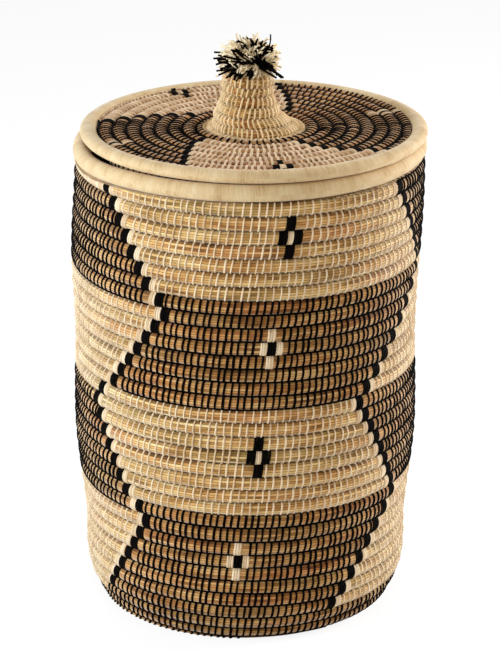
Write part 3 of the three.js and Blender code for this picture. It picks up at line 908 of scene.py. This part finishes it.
def lid_radius(row, theta):
    """Radius of the middle of a row of the lid at an angle in degrees."""
    return LID_OUTER - LID_PITCH * (row + 0.5 + LID_FIRST_TURN - theta / 360)


def lid_lines(radius):
    """The four lines' angles in degrees at a radius."""
    return np.stack([np.interp(radius, LID_RADII, angles) for angles in LID_LINES])


def lid_is_dark(row, theta):
    """The lid's side fields are dark, and so is the row next to the knob's foot."""
    radius = lid_radius(row, theta)
    lines = lid_lines(radius)
    theta = theta + 360 * (theta < lines[0])
    return ((theta > lines[1:]).sum(0) % 2 == 1) | (radius < FOOT_ROW_RADIUS)


def lid_blocks():
    """Blocks of the lid as the wall's. A line's angle depends on the radius and the radius of a row on the
    angle, so each is worked out from the other a few times."""
    blocks = []
    for row in range(-1, 8):
        for number, angles in enumerate(LID_LINES):
            here = angles[-1]
            for _ in range(5):
                here = (here + 180) % 360 - 180
                radius = lid_radius(row, here)
                here = float(lid_lines(radius)[number])
            if radius > FOOT_ROW_RADIUS:
                blocks += block_pair(row, (here + 180) % 360 - 180, 1 if number % 2 else -1, *LID_BLOCKS)
    for row, angle in LID_CROSSES:
        on_dark = bool(lid_is_dark(row, angle))
        blocks += cross_blocks(row, angle, on_dark, *LID_CROSS_SIZES[on_dark])
    return blocks


# %% Build the lid
make_piece("lid_grass", *grass_sheet(lid, -1, 9, 240, 10, lid_is_dark), lid_grass, *lid.part)
lid_stitches = sew(lid, -1.5, 9, seed=14, spacing=(6.4, 8.0), widths=(3.4, 2.6), is_dark=lid_is_dark,
                   blocks=lid_blocks())
sewn_pieces("lid", lid, lid_stitches, seed=46, cream=aged_palm, lean=0.4)

# %% [markdown]
# ## Knob
# The knob is the middle of the lid's coil, wound up into a hollow cone and sewn in cream only.

# %% Build the knob
make_piece("knob_grass", *grass_sheet(knob, -1, 10, 120, 10), knob_grass, *knob.part)
knob_stitches = sew(knob, -1.5, 10, seed=15, spacing=(5.1, 5.1), widths=(2.3, 2.3))
sewn_pieces("knob", knob, knob_stitches, seed=48, cream=fresh_palm)

# %% [markdown]
# ## Pom-pom
# Short lengths of wool yarn, tied together in front on top of the knob, spread to an uneven ball. Strands of
# one colour keep together in tufts, the black ones a little further forward. Each strand is a thin tube on a
# curve that leaves the knot straight and bows up before it ends.


# %% Build the pom-pom
POM_KNOT = np.array([CROWN_X + 9.5, -12.0, CROWN_Z + 7.0])
BLACK_TUFTS = (  # x, y, z of the tips in mm from the knot, strands, and spread as a share of their length
    (-28, -16, 22, 6, 0.07), (-30, -18, 8, 5, 0.10), (-45, -6, -3, 7, 0.14), (-40, -8, -9, 6, 0.16),
    (-33, -12, -14, 6, 0.20), (-20, -18, -14, 6, 0.20), (-10, -14, -19, 6, 0.14), (29, -10, -12, 7, 0.12),
    (20, -18, 0, 6, 0.20), (24, -6, 2, 5, 0.14), (17, 0, 38, 3, 0.03), (-21, -6, 32, 3, 0.03),
    (0, -6, 32, 3, 0.04), (18, -6, 24, 9, 0.14), (9, -12, 24, 13, 0.18), (5, -2, 28, 7, 0.12),
    (24, -4, 10, 5, 0.07), (-47, -4, 13, 5, 0.05),
    (-48, -4, 6, 5, 0.05), (-24, 4, 29, 4, 0.06), (-6, -2, 30, 4, 0.10), (-14, -12, 26, 5, 0.12),
    (0, -18, 12, 12, 0.30), (8, 34, 2, 26, 0.30), (-26, 32, -6, 22, 0.20), (22, 24, -10, 16, 0.15),
    (-12, 34, 20, 14, 0.15),
)
CREAM_TUFTS = (
    (-25, -8, 21, 150, 0.26), (-34, -8, 11, 90, 0.22), (-16, -2, 24, 130, 0.24), (-10, -16, 18, 60, 0.28),
    (-2, 2, 24, 90, 0.26), (4, -16, 22, 40, 0.24), (12, 4, 24, 36, 0.20), (-42, -2, 2, 50, 0.16),
    (-40, 0, -10, 46, 0.18), (-18, -20, -2, 40, 0.22), (20, -14, 14, 36, 0.18), (25, 0, 12, 30, 0.18),
    (2, -16, -8, 30, 0.30), (-25, -10, -18, 30, 0.16), (18, -8, -14, 30, 0.20), (-10, 34, 14, 90, 0.40),
    (-34, 24, 8, 90, 0.30), (20, 28, 6, 90, 0.30), (-8, 40, -8, 70, 0.35), (24, 12, -6, 50, 0.30),
    (-36, 14, -8, 60, 0.30), (-4, 22, 18, 60, 0.25),
)


def strands(tufts, seed):
    """Paths of the strands, from the knot to their tips: a quadratic curve whose middle is pushed outwards
    and up, and sideways by a different amount in each strand."""
    rng = np.random.default_rng(seed)
    tufts = np.array(tufts, float)
    of = np.repeat(np.arange(len(tufts)), tufts[:, 3].astype(int))
    way, spread = tufts[of, :3], tufts[of, 4:]
    length = np.linalg.norm(way, axis=1, keepdims=True)
    noise = np.clip(rng.normal(0, 0.6, way.shape), -0.8, 0.8)
    tip = way * rng.uniform(0.6, 1.0, length.shape) + noise * spread * length
    bow = tip * 0.5 + [0, 0, 3.0] + rng.normal(0, 5.0, way.shape)
    t = np.linspace(0.04, 1, 7)[None, :, None]
    return POM_KNOT + 2 * t * (1 - t) * bow[:, None] + t**2 * tip[:, None]


for name, tufts, material, radius, forward in (
    ("cream", CREAM_TUFTS, cream_wool, 1.0, 0.0), ("black", BLACK_TUFTS, black_wool, 1.15, 5.0),
):
    paths = strands(tufts, seed=61) - [0, forward, 0]
    tone = np.repeat(np.random.default_rng(62).uniform(0, 1, len(paths)), paths.shape[1] * 4)
    make_piece("pom_pom_" + name, *tubes(paths, radius), None, tone, material, "lid", "pom_pom",
               "cream_and_black_yarn")

TIE_HEIGHTS = np.array([-22, -16.5, -12, -5, 4])  # from the top of the knob, with a knot at the second one
TIE_RADII = np.array([[3.0, 6.5, 3.0, 2.8, 2.8]])
points, quads = tubes(np.array([[[CROWN_X, 0, z] for z in CROWN_Z + TIE_HEIGHTS]]), TIE_RADII)
make_piece("tie_yarn", points, quads, None, np.zeros(len(points)), black_wool, "lid", "pom_pom_tie",
           "black_yarn")

# %% [markdown]
# ## Floor, background and light
# A large soft lamp stands at each side, so the basket's sides are bright and its middle is darker. The left
# one is cooler and stands a little in front, the right one a little behind. A weak warm lamp in front and one
# above open the shade. Seen or mirrored the world is white, and so is the floor, which keeps a faint shadow.

# %% Floor
FLOOR_GLOW = 1.12
GLOW_SHARE = 0.75  # of what the camera sees, the rest is the paper with its shadow
floor_mesh = bpy.data.meshes.new("floor")
floor_mesh.from_pydata([(-6, -6, 0), (6, -6, 0), (6, 6, 0), (-6, 6, 0)], [], [(0, 1, 2, 3)])
show("floor", floor_mesh)
material, add, surface = new_material("white_paper_floor")
paper = add("BsdfDiffuse", Color=(0.9, 0.9, 0.9, 1))
glow = add("Emission", Color=(1, 1, 1, 1), Strength=FLOOR_GLOW)
share = add("Math", [add("LightPath", out="Is Camera Ray"), GLOW_SHARE], operation="MULTIPLY")
add("MixShader", [share, paper, glow], to=surface)
floor_mesh.materials.append(material)

# %% World
WORLD_LIGHT = 0.30  # of the white world, for rays that aren't seen
world = bpy.data.worlds.new("studio")
bpy.context.scene.world = world
world.use_nodes = True
world.node_tree.nodes.clear()
add = partial(add_node, world.node_tree)
white = add("LightPath", out="Is Camera Ray")
for ray in ("Is Glossy Ray", "Is Transmission Ray"):
    white = add("Math", [white, add("LightPath", out=ray)], operation="MAXIMUM")
strength = add("MapRange", [white, 0.0, 1.0, WORLD_LIGHT, 1.0])
sky = world.node_tree.nodes.new("ShaderNodeOutputWorld").inputs[0]
add("Background", Color=(1, 1, 1, 1), Strength=strength, to=sky)


# %% Lamps
def lamp(name, place, target, size, watts, colour=0xFFFFFF):
    """A square area lamp that faces a target, all in metres."""
    data = bpy.data.lights.new(name, "AREA")
    data.size, data.energy, data.color = size, watts, linear(colour)[:3]
    held = show(name, data)
    held.location = place
    x, y, z = np.array(target) - place
    held.rotation_euler = (math.pi / 2 + math.atan2(z, math.hypot(x, y)), 0, math.atan2(-x, y))


lamp("left", (-2.45, -0.8, 1.05), (0, 0, 0.35), 1.5, 76, 0xE8F2FF)
lamp("front", (0.0, -2.8, 1.5), (0, 0, 0.3), 1.6, 12.5, 0xFFE9D0)
lamp("right", (2.3, 0.85, 1.05), (0, 0, 0.35), 1.6, 81, 0xF6F4F6)
lamp("top", (0.0, 0.2, 2.4), (0, 0, 0.5), 1.6, 8)

bpy.context.scene.view_settings.view_transform = "Standard"
